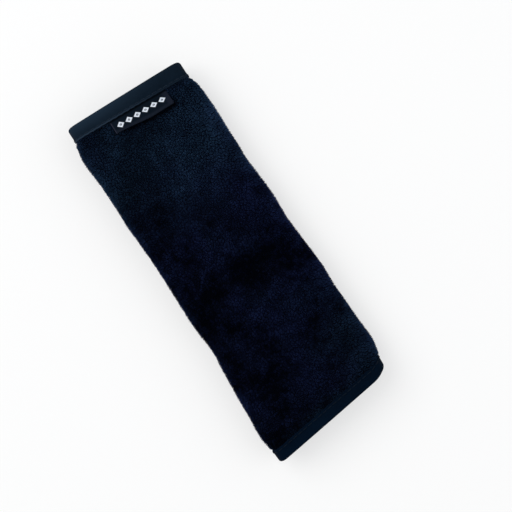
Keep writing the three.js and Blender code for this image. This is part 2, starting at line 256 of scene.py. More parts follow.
def closed_bodies(name, rings):
    """Closed bodies from rings of points, by body, ring and point, or one body by ring and point. A
    ring runs along one side of a section and back along the other, so the end rings are closed by
    pairing the points of the two sides."""
    count, size = rings.shape[-3:-1]
    first = np.arange(size // 2 - 1)
    cap = np.stack([first, size - 1 - first, size - 2 - first, first + 1], axis=-1)
    faces = np.concatenate([band_faces(count, size), cap, cap[:, ::-1] + (count - 1) * size])
    points = rings.reshape(-1, 3)
    a, b, c, d = (points[faces[:, i]] - points[0] for i in range(4))
    if (a * np.cross(b, c)).sum() + (a * np.cross(c, d)).sum() < 0:
        faces = faces[:, ::-1]
    starts = np.arange(0, len(points), count * size)
    return add_mesh(name, points, (starts[:, None, None] + faces).reshape(-1, 4))


def sheet_body(name, one_side, other_side):
    """A closed sheet between two grids of points, whose rings run along one and back on the other."""
    return closed_bodies(name, np.concatenate([one_side, other_side[:, ::-1]], axis=1))


def unit(vectors):
    """Each vector divided by its own length."""
    return vectors / np.linalg.norm(vectors, axis=-1, keepdims=True)


def tag(piece, name, values):
    """A number for each point of a mesh, which its material reads."""
    attribute = piece.data.attributes.new(name, "FLOAT", "POINT")
    attribute.data.foreach_set("value", values.astype(np.float32).ravel())


def read_tag(tree, name):
    """A tag's numbers in a material."""
    node = tree.nodes.new("ShaderNodeAttribute")
    node.attribute_name = name
    return node.outputs["Fac"]


def rows_between(start, end, spacing):
    """Even places from start to end, as near the spacing as a whole number of steps allows."""
    return np.linspace(start, end, int(round(abs(end - start) / spacing)) + 1)


def linear(red, green, blue):
    """A screen colour from 0 to 255 as the linear colour that a shader takes."""
    value = np.array([red, green, blue]) / 255
    return (*np.where(value < 0.04045, value / 12.92, ((value + 0.055) / 1.055) ** 2.4), 1)


def principled(name, colour, roughness, **sockets):
    """A material with its shader's plain numbers set on the shader's own sockets."""
    material = bpy.data.materials.new(name)
    material.use_nodes = True
    shader = material.node_tree.nodes["Principled BSDF"]
    shader.inputs["Base Color"].default_value = colour
    shader.inputs["Roughness"].default_value = roughness
    for socket, value in sockets.items():
        shader.inputs[socket.replace("_", " ")].default_value = value
    return material, material.node_tree, shader


def feed(tree, place_in, value):
    """Sets a node's input to a plain value or links it to another node's output."""
    if isinstance(value, bpy.types.NodeSocket):
        tree.links.new(value, place_in)
    else:
        place_in.default_value = value


def sums(tree, operation, *values):
    """The output of a Math node fed by numbers or by other nodes' outputs."""
    node = tree.nodes.new("ShaderNodeMath")
    node.operation = operation
    for place_in, value in zip(node.inputs, values):
        feed(tree, place_in, value)
    return node.outputs[0]


def mixed(tree, factor, first, second):
    """The first colour where the factor is 0 and the second where it is 1."""
    mix = tree.nodes.new("ShaderNodeMix")
    mix.data_type = "RGBA"
    for socket, value in (("Factor", factor), ("A", first), ("B", second)):
        feed(tree, mix.inputs[socket], value)
    return mix.outputs["Result"]


def add_bump(tree, shader, height, strength, depth):
    """Relief on a material from a height of 0 to 1, its depth in millimetres."""
    relief = tree.nodes.new("ShaderNodeBump")
    relief.inputs["Strength"].default_value = strength
    relief.inputs["Distance"].default_value = depth * MM
    tree.links.new(height, relief.inputs["Height"])
    tree.links.new(relief.outputs["Normal"], shader.inputs["Normal"])


def node_group(name, inputs, outputs):
    """An empty node group with sockets by name and kind, and its entry and exit nodes."""
    group = bpy.data.node_groups.new(name, "ShaderNodeTree")
    for way, sockets in (("INPUT", inputs), ("OUTPUT", outputs)):
        for socket, kind in sockets.items():
            group.interface.new_socket(socket, in_out=way, socket_type=f"NodeSocket{kind}")
    return group, group.nodes.new("NodeGroupInput"), group.nodes.new("NodeGroupOutput")


def mottle_group():
    """Patches of brushed and unbrushed cloth: soft noise at two sizes, mixed between two colours."""
    inputs = {"Dark": "Color", "Light": "Color", "Patch Scale": "Float", "Grain Scale": "Float"}
    group, entry, leave = node_group("Cloth mottle", inputs, {"Color": "Color", "Grain": "Float"})
    nodes, link = group.nodes, group.links.new
    place_on = nodes.new("ShaderNodeTexCoord")
    patch, grain = nodes.new("ShaderNodeTexNoise"), nodes.new("ShaderNodeTexNoise")
    patch.inputs["Detail"].default_value = 3
    grain.inputs["Detail"].default_value = 2
    link(entry.outputs["Patch Scale"], patch.inputs["Scale"])
    link(entry.outputs["Grain Scale"], grain.inputs["Scale"])
    link(place_on.outputs["Object"], patch.inputs["Vector"])
    link(place_on.outputs["Object"], grain.inputs["Vector"])
    shares = []
    for noise in (patch, grain):
        spread = nodes.new("ShaderNodeMapRange")
        spread.inputs["From Min"].default_value = 0.33
        spread.inputs["From Max"].default_value = 0.67
        spread.inputs["To Max"].default_value = 0.5
        link(noise.outputs["Fac"], spread.inputs["Value"])
        shares.append(spread.outputs["Result"])
    colour = mixed(group, sums(group, "ADD", *shares), entry.outputs["Dark"], entry.outputs["Light"])
    link(colour, leave.inputs["Color"])
    link(grain.outputs["Fac"], leave.inputs["Grain"])
    return group


cloth_mottle = mottle_group()


def mottled(tree, shader, dark, light, patch, grain, bump=0.0, depth=0.1):
    """Puts the mottle into a material and returns its colour. Patch, grain and the bump's depth are
    sizes in millimetres."""
    node = tree.nodes.new("ShaderNodeGroup")
    node.node_tree = cloth_mottle
    node.inputs["Dark"].default_value = dark
    node.inputs["Light"].default_value = light
    node.inputs["Patch Scale"].default_value = 1 / (patch * MM)
    node.inputs["Grain Scale"].default_value = 1 / (grain * MM)
    tree.links.new(node.outputs["Color"], shader.inputs["Base Color"])
    if bump:
        add_bump(tree, shader, node.outputs["Grain"], bump, depth)
    return node.outputs["Color"]


def finish_piece(piece, material, slot, *nodes):
    """Material, body and the CAD nodes that the piece stands for. The slot is not used."""
    piece.data.materials.append(material)
    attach(piece, "root")
    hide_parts(*nodes)
    return piece


# The frame's origin is under the middle of the whole pad, and the plush reaches both its sides
centre = np.zeros(3)
line, rows = wrap_line(1)[:, None, :], rows_between(-SHEET_END, SHEET_END, 1)[:, None]
reach = place(line, rows, layers(line, rows)[2])
low_corner, high_corner = (np.array(corner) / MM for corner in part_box("plush_cover"))
centre[:2] = ((reach.min((0, 1)) + reach.max((0, 1)) - low_corner - high_corner) / 2)[:2]

KNIT_PITCH = 1.3
KNIT_DEPTH = 0.05
core_line = wrap_line(KNIT_PITCH / 2)
core_line = core_line[:, clear_of_edges(core_line, FREE_EDGE_LIP + LAYER_GAP)]
line, rows = core_line[:, None, :], rows_between(-SHEET_END, SHEET_END, KNIT_PITCH / 2)[:, None]
columns = np.arange(core_line.shape[1])[None, :]
knit = KNIT_DEPTH * np.cos(np.pi * columns) * np.cos(2 * np.pi * rows / KNIT_PITCH)
face = place(line, rows, knit)
back = place(line, rows, LINING)
lining = sheet_body("lining_cloth", back, face)
material, tree, shader = principled("Lining knit", linear(22, 25, 30), 0.85, Specular_IOR_Level=0.2)
mottled(tree, shader, linear(15, 18, 23), linear(32, 36, 43), 12, 0.5, 0.5, 0.15)
finish_piece(lining, material, "lining", "lining")

FLUFF = 0.08
wadding_top = layers(line, rows)[0]
fluff = np.random.default_rng(11).uniform(-FLUFF, FLUFF, knit.shape)
face = place(line, rows, wadding_top + fluff)
back = place(line, rows, LINING + LAYER_GAP + FLUFF + fluff)
wadding = sheet_body("wadding_batt", back, face)
material, tree, shader = principled("Wadding fibre", linear(226, 226, 222), 0.95)
mottled(tree, shader, linear(208, 208, 204), linear(240, 240, 237), 6, 0.7, 0.6, 0.3)
finish_piece(wadding, material, "wadding", "wadding")

# Plush cover
# A knitted backing with a dense short pile, its long edges turned in. It is sewn flat at the
# closure and under the bindings, and swells softly between them, in part by a cloth simulation.
PILE = 1.0
SIM_SCALE = 10  # the solver works best on a piece a metre or so long
SIM_SPACING = 3
SIM_FRAMES = 24
SWELL_PRESSURE = 0.3
SPARE_CLOTH = 0.008
SIDE_HOLD = 0.5
SWELL_SHARE = 0.6  # of the simulated move that is kept
SWELL_CAP = 1.2
COVER_SPACING = 0.8
SIDE_BULGE = 0.45  # how much fuller the soft sides are than the stacked sheets
EDGE_SWELL = 0.7  # and the cover beside a binding
SIDE_SWELL = 0.6
SWELL_START = 1.3
SEAM_DISTANCES = 2.5, 20.5  # of the closure's seams from a flap's free edge
SEAM_GROOVE = 0.5
SEAM_REACH = 0.7
LIP_END = 1.3  # from a free edge to the cover's first even station
LIP_DISTANCE = np.array([1.2, 1.0, 0.8, 0.65, 0.6, 0.6, 0.65, 0.8, 1.0])
LIP_OVER_LINING = np.array([0, 0.02, 0.1, 0.3, 0.5, 0, 0, 0, 0])
LIP_SHARE = np.array([0, 0, 0, 0, 0.3, 0.6, 0.85, 0.96, 1])


def pile_depth(y):
    """The pile's depth, of which less than a third is left under the bindings."""
    return PILE * (1 - 0.7 * smooth(np.abs(y), BINDING_EDGE - 2, BINDING_EDGE))


def seam_groove(line):
    """1 on the seams of the outer flap, which pull the plush in, and 0 away from them."""
    on_flap = (line[3] < -FLAT) & (np.abs(line[1] - FLAP_HEIGHT) < 0.01)
    apart = np.min([np.abs(line[0] - OUTER_FREE_EDGE - seam) for seam in SEAM_DISTANCES], axis=0)
    return on_flap * bell(apart, SEAM_REACH)


def backing_top(line, y):
    """Height of the knitted backing's outer face, under the pile. It swells up close to a binding,
    most at the sides."""
    side = side_share(line[2])
    clear = smooth(BINDING_EDGE - np.abs(y), 0, SWELL_START)
    by_binding = (EDGE_SWELL + SIDE_SWELL * side) * end_squeeze(y) * (line[3] > -FLAT)
    swell_out = clear * (SIDE_BULGE * side + by_binding)
    return layers(line, y)[2] - pile_depth(y) + swell_out - SEAM_GROOVE * seam_groove(line)


def simulated_swell(line, rows):
    """How far each point of a coarse sheet moves when it is blown out softly and given spare
    width, with the bound ends, the free edges and the closure held. Millimetres."""
    rest = place(line[:, None, :], rows[:, None], backing_top(line[:, None, :], rows[:, None]))
    count, size = rest.shape[:2]
    near = (np.arange(count - 1)[:, None] * size + np.arange(size - 1)[None, :]).ravel()
    faces = np.stack([near, near + 1, near + size + 1, near + size], axis=-1)
    sheet = add_mesh("cover_simulation", rest.reshape(-1, 3) * SIM_SCALE + centre * (1 - SIM_SCALE), faces)
    held = np.zeros((count, size), bool)
    held[np.abs(rows) > BINDING_EDGE - 0.5] = True
    lapped = (line[3] < -FLAT) & (line[0] < INNER_FREE_EDGE) & (line[0] > OUTER_FREE_EDGE)
    held[:, lapped | (np.abs(line[0] - OUTER_FREE_EDGE) < SIM_SPACING)] = True
    group = sheet.vertex_groups.new(name="held")
    sides = np.flatnonzero(np.broadcast_to(np.abs(line[2]) > 0.8, held.shape))
    group.add(sides.tolist(), SIDE_HOLD, "REPLACE")
    group.add(np.flatnonzero(held).tolist(), 1.0, "REPLACE")
    cloth = sheet.modifiers.new("Swell", "CLOTH")
    settings = cloth.settings
    settings.quality = 6
    settings.mass = 0.06
    settings.tension_stiffness = settings.compression_stiffness = 12
    settings.shear_stiffness = 6
    settings.bending_stiffness = 0.25
    settings.shrink_min = -SPARE_CLOTH
    settings.use_pressure = True
    settings.uniform_pressure_force = SWELL_PRESSURE
    settings.vertex_group_mass = "held"
    settings.effector_weights.gravity = 0
    cloth.point_cache.frame_start = 1
    cloth.point_cache.frame_end = SIM_FRAMES
    for step in range(1, SIM_FRAMES + 1):
        bpy.context.scene.frame_set(step)
    settled = sheet.evaluated_get(bpy.context.evaluated_depsgraph_get()).data
    moved = np.empty(count * size * 3, np.float32)
    settled.vertices.foreach_get("co", moved)
    bpy.context.scene.frame_set(1)
    bpy.data.objects.remove(sheet)
    moved = moved.reshape(count, size, 3) / (MM * SIM_SCALE) + centre - rest
    length = np.linalg.norm(moved, axis=-1, keepdims=True) + 1e-6
    return moved / length * SWELL_CAP * np.tanh(SWELL_SHARE * length / SWELL_CAP)


def spline_weights(coarse, fine):
    """Shares of the coarse places in each fine one: the cubic B-spline's bell."""
    t = np.abs(fine[:, None] - coarse[None, :]) / abs(coarse[1] - coarse[0])
    shares = np.where(t < 1, 2 / 3 - t**2 + t**3 / 2, np.maximum(0, 2 - t) ** 3 / 6)
    return shares / shares.sum(1, keepdims=True)


sim_line, sim_rows = wrap_line(SIM_SPACING), rows_between(-SHEET_END, SHEET_END, SIM_SPACING)
cover_line, cover_rows = wrap_line(COVER_SPACING), rows_between(-SHEET_END, SHEET_END, COVER_SPACING)
coarse_swell = simulated_swell(sim_line, sim_rows)
row_shares = spline_weights(sim_rows, cover_rows)
column_shares = spline_weights(np.linspace(0, 1, sim_line.shape[1]), np.linspace(0, 1, cover_line.shape[1]))
swell = np.einsum("ri,ijk,cj->rck", row_shares, coarse_swell, column_shares)

lip_count = len(LIP_DISTANCE)
body = clear_of_edges(cover_line, LIP_END)


def between_lips(lip, value):
    """A number for each of the cover's stations: the lip's own up to one free edge's turn, one value
    over the body, and the lip's again, backwards, at the other free edge."""
    return np.concatenate([lip, np.full(body.sum(), value), lip[::-1]])


inner_lip, outer_lip = flap_line(INNER_FLAP, LIP_DISTANCE), flap_line(OUTER_FLAP, LIP_DISTANCE)
cover_path = np.concatenate([inner_lip, cover_line[:, body], outer_lip[:, ::-1]], axis=1)
over_lining = between_lips(LIP_OVER_LINING, 0)
top_share = between_lips(LIP_SHARE, 1)
low_share = between_lips(np.linspace(0, 1, lip_count), 1)
line, rows = cover_path[:, None, :], cover_rows[:, None]
backing = place(line, rows, over_lining + top_share * backing_top(line, rows))
backing[:, lip_count:-lip_count] += swell[:, body]
inside_line = cover_path.copy()
inside_line[0, :lip_count] = INNER_FREE_EDGE - FREE_EDGE_LIP
inside_line[0, -lip_count:] = OUTER_FREE_EDGE + FREE_EDGE_LIP
line = inside_line[:, None, :]
inside = place(line, rows, low_share * layers(line, rows)[1])
cover = sheet_body("plush_backing", backing, inside)
material, tree, shader = principled("Plush backing", linear(1, 2, 6), 0.95, Specular_IOR_Level=0.02)
mottled(tree, shader, linear(0, 1, 4), linear(3, 6, 12), 9, 0.6, 0.4, 0.2)
finish_piece(cover, material, "plush", "plush_cover")

# Pile
# Fine polyester fibres stand out of the backing. They lean the way that the cloth was last
# stroked and gather in small tufts. They are shorter at the pad's sides and beside the bindings,
# and most of all where the label or a seam of the closure presses them.
PILE_SPACING = 0.32
PILE_LENGTH = 1.25
FIBRE_RADIUS = 0.11
ROOT_DEPTH = 0.12  # of a fibre's foot in the backing
THIRDS = 2 * np.pi * np.arange(3) / 3  # where the foot's three corners stand round the fibre
ROOT_SHADE = 0.35  # of the tip's light that shows at the foot: painted shade down among the fibres
NAP_DIRECTION = -1.2  # radians from straight across the pad
NAP_LEAN = 0.42
SIDE_LEAN = 0.3
MOST_LEAN = 1.2
TUFT_SIZE = 1.2
TUFT_PULL = 0.5
TUFT_CONTRAST = 0.1
PILE_BANDS = 5
PILE_START = 30  # along the cover from the inner free edge, past the loop strip
PILE_DARK, PILE_LIGHT, PILE_VIOLET = linear(3, 4, 20), linear(60, 93, 132), linear(63, 81, 145)
LABEL_LEFT = -11
LABEL_WIDTH = 27.7
LABEL_RIGHT = LABEL_LEFT + LABEL_WIDTH
LABEL_DROP = 6.4
LABEL_SLANT = 1.9
UNDER_LABEL = 0.75  # of the pile's length that is lost under the label
IN_SEAM = 0.6  # and in a seam of the closure
SHADOW_BELOW = 0.9  # from the label's fold to the middle of the painted shadow under it
SHADOW_REACH = 1.3
SHADOW_DEPTH = 0.8
BAKE_SPAN = 190  # millimetres of cloth on a side of the UV square
BAKE_SHIFT = 90  # which brings the whole pad's length into it
BAKE_APART = 0.08
NAP_PATCHES_AND_PAINTED_SHADE = [  # middle x, middle y, reach x, reach y, how much lighter: brushed patches of the nap, save the second, a painted shadow below the label, and the last, painted shade in the crease
    (16, 55, 22, 19, 0.4), (-2, 64, 12, 5, -0.35), (-18, 60, 10, 14, 0.12), (-19, 28, 10, 11, -0.18),
    (4, 38, 9, 17, 0.26), (17, 20, 9, 7, 0.02), (-20, -14, 10, 20, -0.16), (-16, -52, 12, 22, -0.2),
    (20, -62, 12, 12, 0.14), (26, -14, 7, 20, -0.1),
    (CREASE_X, CREASE_Y - 1, CREASE_REACH_X, CREASE_REACH_Y, -0.45),
]
backing_u = np.append(0, np.cumsum(np.linalg.norm(np.diff(backing.mean(0), axis=0), axis=-1)))
along_u, along_y = np.gradient(backing, backing_u, axis=1), np.gradient(backing, axis=0)
backing_normal = np.cross(along_y, along_u)
if backing_normal[len(backing_normal) // 2, backing.shape[1] // 2, 2] < 0:
    backing_normal = -backing_normal
if along_y[0, 0, 1] < 0:
    along_y = -along_y
tangents = [unit(grid) for grid in (backing_normal, along_u, along_y)]


def lattice_noise(u, y, cell, seed):
    """Smooth noise from -1 to 1: random values on a square lattice, blended between its corners."""
    values = np.random.default_rng(seed).uniform(-1, 1, (256, 256))
    column, row = u / cell + 40, y / cell + 90
    i, j = np.floor(column).astype(int) % 255, np.floor(row).astype(int) % 255
    s, t = smooth(column % 1, 0, 1), smooth(row % 1, 0, 1)
    near = values[i, j] * (1 - s) + values[i + 1, j] * s
    far = values[i, j + 1] * (1 - s) + values[i + 1, j + 1] * s
    return near * (1 - t) + far * t


def tufts(u, y):
    """The light, from -1 to 1, and the middle of the tuft that each fibre belongs to: every cell of
    a lattice has one tuft at a random place, and a fibre goes to the nearest."""
    chance = np.random.default_rng(8).uniform(0, 1, (3, 256, 256))
    cells = np.floor(np.stack([u, y]) / TUFT_SIZE).astype(int)
    best = np.full(u.shape, np.inf)
    cell, middle = np.zeros((2, *u.shape), int), np.zeros((2, *u.shape))
    for step in np.ndindex(3, 3):
        near = cells + np.array(step)[:, None] - 1
        spot = (near + chance[:2, near[0] % 256, near[1] % 256]) * TUFT_SIZE
        apart = np.hypot(*(spot - [u, y]))
        closer = apart < best
        best = np.where(closer, apart, best)
        cell, middle = np.where(closer, near, cell), np.where(closer, spot, middle)
    return chance[2, cell[0] % 256, cell[1] % 256] * 2 - 1, middle


def on_backing(grid, u, y):
    """The grid's value at places on the backing, blended from the four points around each."""
    column = np.clip(np.interp(u, backing_u, np.arange(len(backing_u))), 0, len(backing_u) - 1.001)
    row = np.clip((y - cover_rows[0]) / (cover_rows[1] - cover_rows[0]), 0, len(cover_rows) - 1.001)
    i, j = row.astype(int), column.astype(int)
    s, t = (column - j)[:, None], (row - i)[:, None]
    near = grid[i, j] * (1 - s) + grid[i, j + 1] * s
    return near * (1 - t) + (grid[i + 1, j] * (1 - s) + grid[i + 1, j + 1] * s) * t


def label_drop(x):
    """How far the label reaches below the binding's edge: the stated drop at its left end, and
    more towards its right end."""
    return LABEL_DROP + LABEL_SLANT * smooth((x - LABEL_LEFT) / LABEL_WIDTH, 0, 0.7)


def within(distance, edge):
    """1 short of an edge and 0 past it, with a soft millimetre between them."""
    return smooth(distance, edge + 0.6, edge - 0.4)


def pressed_share(u, y):
    """How much of the pile's length is lost, under the label and in the closure's seams."""
    station = [np.interp(u, backing_u, row) for row in cover_path]
    across = within(np.abs(station[0] - LABEL_LEFT - LABEL_WIDTH / 2), LABEL_WIDTH / 2)
    down = within(BINDING_EDGE - y, label_drop(station[0]))
    under = UNDER_LABEL * across * down * (station[3] > FLAT)
    return np.maximum(under, IN_SEAM * seam_groove(station))


def nap_light_and_painted_shade(u, y, x):
    """From 0, dark, to 1, brushed up and light: lighter towards the label end, broad patches with
    painted shade in the crease and below the label, noise at three sizes, and a painted shadow right
    under the label's fold."""
    light = 0.3 + 0.19 * smooth(y, -10, 60)
    for middle_x, middle_y, reach_x, reach_y, amount in NAP_PATCHES_AND_PAINTED_SHADE:
        light = light + amount * bell(x - middle_x, reach_x) * bell(y - middle_y, reach_y)
    light += 0.15 * lattice_noise(u, y, 9, 12) + 0.13 * lattice_noise(u, y, 3.4, 13)
    light = np.clip(light + 0.08 * lattice_noise(u, y, 1.7, 14), 0, 1)
    # painted shadow of the lifted label's fold on the pile under it
    under = bell(BINDING_EDGE - y - label_drop(x) - SHADOW_BELOW, SHADOW_REACH)
    under = under * smooth(x, LABEL_LEFT - 2, LABEL_LEFT + 8) * smooth(x, LABEL_RIGHT + 2, LABEL_RIGHT)
    return light * (1 - SHADOW_DEPTH * under)


def violet_share(u, y, x):
    """The blue is teal at the label end, in the low right corner and beside the bottom binding, and
    violet between them."""
    low_corner_teal = bell(x - 27, 15) * bell(y + 66, 24)
    middle = smooth(y, 52, 14) * (1 - low_corner_teal) * smooth(y, -BINDING_EDGE, 6 - BINDING_EDGE)
    return np.clip(0.95 * middle + 0.3 * lattice_noise(u, y, 11, 16), 0, 1)


def add_pile(name, start, end, seed):
    """Fibres between two places u on the backing: a thin three-sided spike each, rooted just
    inside the cloth, its tip leaning with the nap and drawn to the middle of its tuft."""
    random = np.random.default_rng(seed)
    along = rows_between(-BINDING_EDGE - 0.4, BINDING_EDGE + 0.4, PILE_SPACING)
    u, y = np.meshgrid(rows_between(start, end, PILE_SPACING), along)
    u = (u + random.uniform(-0.5, 0.5, u.shape) * PILE_SPACING).ravel()
    y = (y + random.uniform(-0.5, 0.5, y.shape) * PILE_SPACING).ravel()
    root = on_backing(backing, u, y)
    normal, across, along = (on_backing(grid, u, y) for grid in tangents)
    bound = smooth(np.abs(y), BINDING_EDGE - 2.5, BINDING_EDGE)
    direction = NAP_DIRECTION + 0.9 * lattice_noise(u, y, 26, 1) + 0.7 * lattice_noise(u, y, 7, 2)
    side = side_share(normal[:, 0])
    lean = NAP_LEAN + 0.3 * lattice_noise(u, y, 17, 3) + 0.22 * lattice_noise(u, y, 3, 4) + SIDE_LEAN * side
    lean = np.clip(lean + random.normal(0, 0.12, u.shape), 0, MOST_LEAN)
    length = PILE_LENGTH * (1 + 0.2 * lattice_noise(u, y, 2.2, 5)) * random.uniform(0.75, 1.1, u.shape)
    length *= (1 - 0.3 * bound) * (1 - 0.25 * side) * (1 - pressed_share(u, y))
    tuft_light, middle = tufts(u, y)
    pull = TUFT_PULL * length / PILE_LENGTH
    aside_u = length * np.sin(lean) * np.cos(direction) + pull * (middle[0] - u)
    aside_y = length * np.sin(lean) * np.sin(direction) + pull * (middle[1] - y)
    rise = length * np.cos(lean)
    tip = root + normal * rise[:, None] + across * aside_u[:, None] + along * aside_y[:, None]
    tip[:, 2] = np.maximum(tip[:, 2], 0.05)
    turn = (random.uniform(0, 2 * np.pi, u.shape)[:, None] + THIRDS)[..., None]
    ring = FIBRE_RADIUS * (across[:, None] * np.cos(turn) + along[:, None] * np.sin(turn))
    foot = (root - normal * ROOT_DEPTH)[:, None] + ring
    points = np.concatenate([foot, tip[:, None]], axis=1).reshape(-1, 3)
    spike = np.array([[0, 1, 3], [1, 2, 3], [2, 0, 3], [0, 2, 1]])
    faces = (np.arange(len(u))[:, None, None] * 4 + spike[None]).reshape(-1, 3)
    a, b, c = (points[faces[:4, i]] - points[0] for i in range(3))
    if (a * np.cross(b, c)).sum() < 0:
        faces = faces[:, ::-1]
    piece = add_mesh(name, points, faces)
    spots = np.stack([np.stack([u, y + BAKE_SHIFT], axis=-1)] * 4, axis=1)
    spots[:, :3] += BAKE_APART * np.stack([np.cos(THIRDS), np.sin(THIRDS)], axis=-1)
    uv = piece.data.uv_layers.new(name="OFBake")
    uv.data.foreach_set("uv", (spots.reshape(-1, 2)[faces.ravel()] / BAKE_SPAN).astype(np.float32).ravel())
    light = nap_light_and_painted_shade(u, y, root[:, 0]) * random.uniform(0.8, 1.15, u.shape)
    light = np.maximum(light + TUFT_CONTRAST * tuft_light, 0)
    # the foot gets painted shade: ROOT_SHADE of the tip's colour
    tag(piece, "nap_and_painted_shade", np.stack([ROOT_SHADE * light] * 3 + [light], axis=1))
    tag(piece, "violet", np.stack([violet_share(u, y, root[:, 0])] * 4, axis=1))
    return piece


material, tree, shader = principled("Plush pile", PILE_DARK, 0.8, Specular_IOR_Level=0.02)
shader.inputs["Specular Tint"].default_value = (0.45, 0.65, 1, 1)
lit_shade = mixed(tree, read_tag(tree, "violet"), PILE_LIGHT, PILE_VIOLET)
colour = mixed(tree, read_tag(tree, "nap_and_painted_shade"), PILE_DARK, lit_shade)
tree.links.new(colour, shader.inputs["Base Color"])
pile_edges = np.linspace(PILE_START, backing_u[-1] - 0.4, PILE_BANDS + 1)
for band, name in enumerate(["pile_left_back", "pile_left", "pile_front", "pile_right", "pile_right_back"]):
    piece = add_pile(name, pile_edges[band], pile_edges[band + 1], 20 + band)
    finish_piece(piece, material, "plush")

# Closure strips
# The hook strip is sewn to the lining side of the outer flap and the loop strip to the plush side
# of the inner flap, each a woven nylon tape. The hooks and the loops face each other along the
# back, and their tips stay about 0.2 mm apart.
STRIP_WIDTH = 20
STRIP_EDGE = 1.5
STRIP_END = 15
STRIP_TAPE = 0.35
GRIP_PITCH = 1.5
GRIP_RADIUS = 0.07
GRIP_INSET = 1.6  # of the outermost hooks and loops from the tape's sides
LOOP_SHIFT = 0.3  # of the grid of loops across the pad
STRIP_HALF_LENGTH = HALF_LENGTH - STRIP_END


def add_tape(name, line, low, high):
    """A flat tape: a rectangle with slightly rounded edges, run along the pad with a weave's ribs."""
    rows = rows_between(-STRIP_HALF_LENGTH, STRIP_HALF_LENGTH, 0.5)[:, None]
    round_off = 0.08 * bell(np.minimum(np.arange(line.shape[1]), np.arange(line.shape[1])[::-1]), 0.8)
    rib = 0.02 * np.cos(np.pi * np.arange(len(rows)))[:, None]
    top = place(line[:, None, :], rows, high - round_off + rib)
    bottom = place(line[:, None, :], rows, low + round_off)
    return sheet_body(name, top, bottom)


def bent_threads(name, middles, arc_y, arc_n, height_of):
    """Short threads of one shape, each a chain of square rings along an arc from its root."""
    steps = len(arc_y)
    angle = np.arange(4) * np.pi / 2
    run_y, run_n = np.gradient(arc_y), np.gradient(arc_n)
    speed = np.hypot(run_y, run_n)
    ring_x = GRIP_RADIUS * np.cos(angle)[None, :] + np.zeros((steps, 1))
    ring_y = arc_y[:, None] - GRIP_RADIUS * np.sin(angle)[None, :] * (run_n / speed)[:, None]
    ring_n = arc_n[:, None] + GRIP_RADIUS * np.sin(angle)[None, :] * (run_y / speed)[:, None]
    line = [row[:, None, None] for row in middles[0]]
    y = middles[1][:, None, None] + ring_y
    points = place([line[0] + ring_x, *line[1:]], y, height_of(ring_n))
    return closed_bodies(name, points)


def grip_places(flap, shift):
    """Where hooks or loops stand: a grid over the tape, every other row moved half a step."""
    distances = rows_between(STRIP_EDGE + GRIP_INSET, STRIP_EDGE + STRIP_WIDTH - GRIP_INSET, GRIP_PITCH)
    rows = rows_between(-STRIP_HALF_LENGTH + 1.2, STRIP_HALF_LENGTH - 1.2, GRIP_PITCH)
    d, y = np.meshgrid(distances, rows)
    d = d + shift + 0.25 * GRIP_PITCH * (-1) ** np.arange(len(rows))[:, None]
    return flap_line(flap, d.ravel()), y.ravel()


def joined(name, *parts):
    """One piece from several: their points and faces in one mesh."""
    with bpy.context.temp_override(active_object=parts[0], selected_editable_objects=list(parts)):
        bpy.ops.object.join()
    parts[0].name = parts[0].data.name = name
    return parts[0]


tape_steps = np.linspace(STRIP_EDGE, STRIP_EDGE + STRIP_WIDTH, 26)
hook_arc_y = np.array([0, 0, 0.04, 0.2, 0.36, 0.4])
hook_arc_n = np.array([-0.05, 0.22, 0.42, 0.5, 0.4, 0.24])
turn = np.linspace(0, np.pi, 7)
loop_arc_y, loop_arc_n = 0.42 * np.cos(turn), 0.5 * np.sin(turn) ** 0.7 - 0.05
hook_face = -LAYER_GAP - STRIP_TAPE
loop_back = FLAP_HEIGHT + LAYER_GAP
loop_face = loop_back + STRIP_TAPE
hook_tape = add_tape("hook_tape", flap_line(OUTER_FLAP, tape_steps), hook_face, -LAYER_GAP)
places = grip_places(OUTER_FLAP, 0)
hooks = bent_threads("hooks", places, hook_arc_y, hook_arc_n, lambda n: hook_face - n)
hook_strip = joined("hook_tape_with_hooks", hook_tape, hooks)
loop_tape = add_tape("loop_tape", flap_line(INNER_FLAP, tape_steps), loop_back, loop_face)
places = grip_places(INNER_FLAP, LOOP_SHIFT)
loops = bent_threads("loops", places, loop_arc_y, loop_arc_n, lambda n: loop_face + n)
loop_strip = joined("loop_tape_with_loops", loop_tape, loops)
material, tree, shader = principled("Closure nylon", linear(18, 19, 22), 0.55, Specular_IOR_Level=0.35)
mottled(tree, shader, linear(11, 12, 15), linear(30, 32, 37), 5, 0.4, 0.4, 0.1)
finish_piece(hook_strip, material, "closure", "hook_strip")
finish_piece(loop_strip, material, "closure", "loop_strip")

# End bindings
# A smooth knitted tape is folded over the ends of all the sheets, one at the label end and one at
# the slanted end. Its turned-in edge stands up as a fine ridge, which the stitches pucker, and
# has a painted highlight along it.
ENDS = {"top": 1, "bottom": -1}
BINDING_NOSE = 1.1
STITCH_PITCH = 2.8
THREAD_INSET = 1.0
EDGE_RIDGE = 0.2
RIDGE_INSET, RIDGE_REACH = 0.4, 0.32
EDGE_ROUND = 0.22
FRONT_ROUNDING, BACK_ROUNDING = 0.6, 0.3  # of the tape's thickness, at its two inner edges
EDGE_WAVE = 0.1  # of the front edge, in step with the stitches
PUCKER = 0.1
TAPE_SPACING = 0.35
TAPE_KNIT = 0.6
BINDING_SHADES = {  # dark, light, painted light where the tape turns over the pad's end, and the ridge's painted highlight: the bottom tape's colours are all painted in shade
    "top": (linear(3, 12, 22), linear(9, 21, 33), linear(31, 46, 61), linear(40, 54, 70)),
    "bottom": (linear(0, 7, 19), linear(1, 14, 29), linear(1, 14, 30), linear(2, 15, 31)),
}
PAINTED_LIGHT_FADE = -18, 22  # from left to right over the pad, where a tape's painted light and the ridge's painted highlight fade
TAPE_TUCK = 0.7  # how far a tape closes past the flaps' free edges
TUCK_TURN = 0.48 * np.pi  # just short of a quarter turn, so that its two layers stay apart
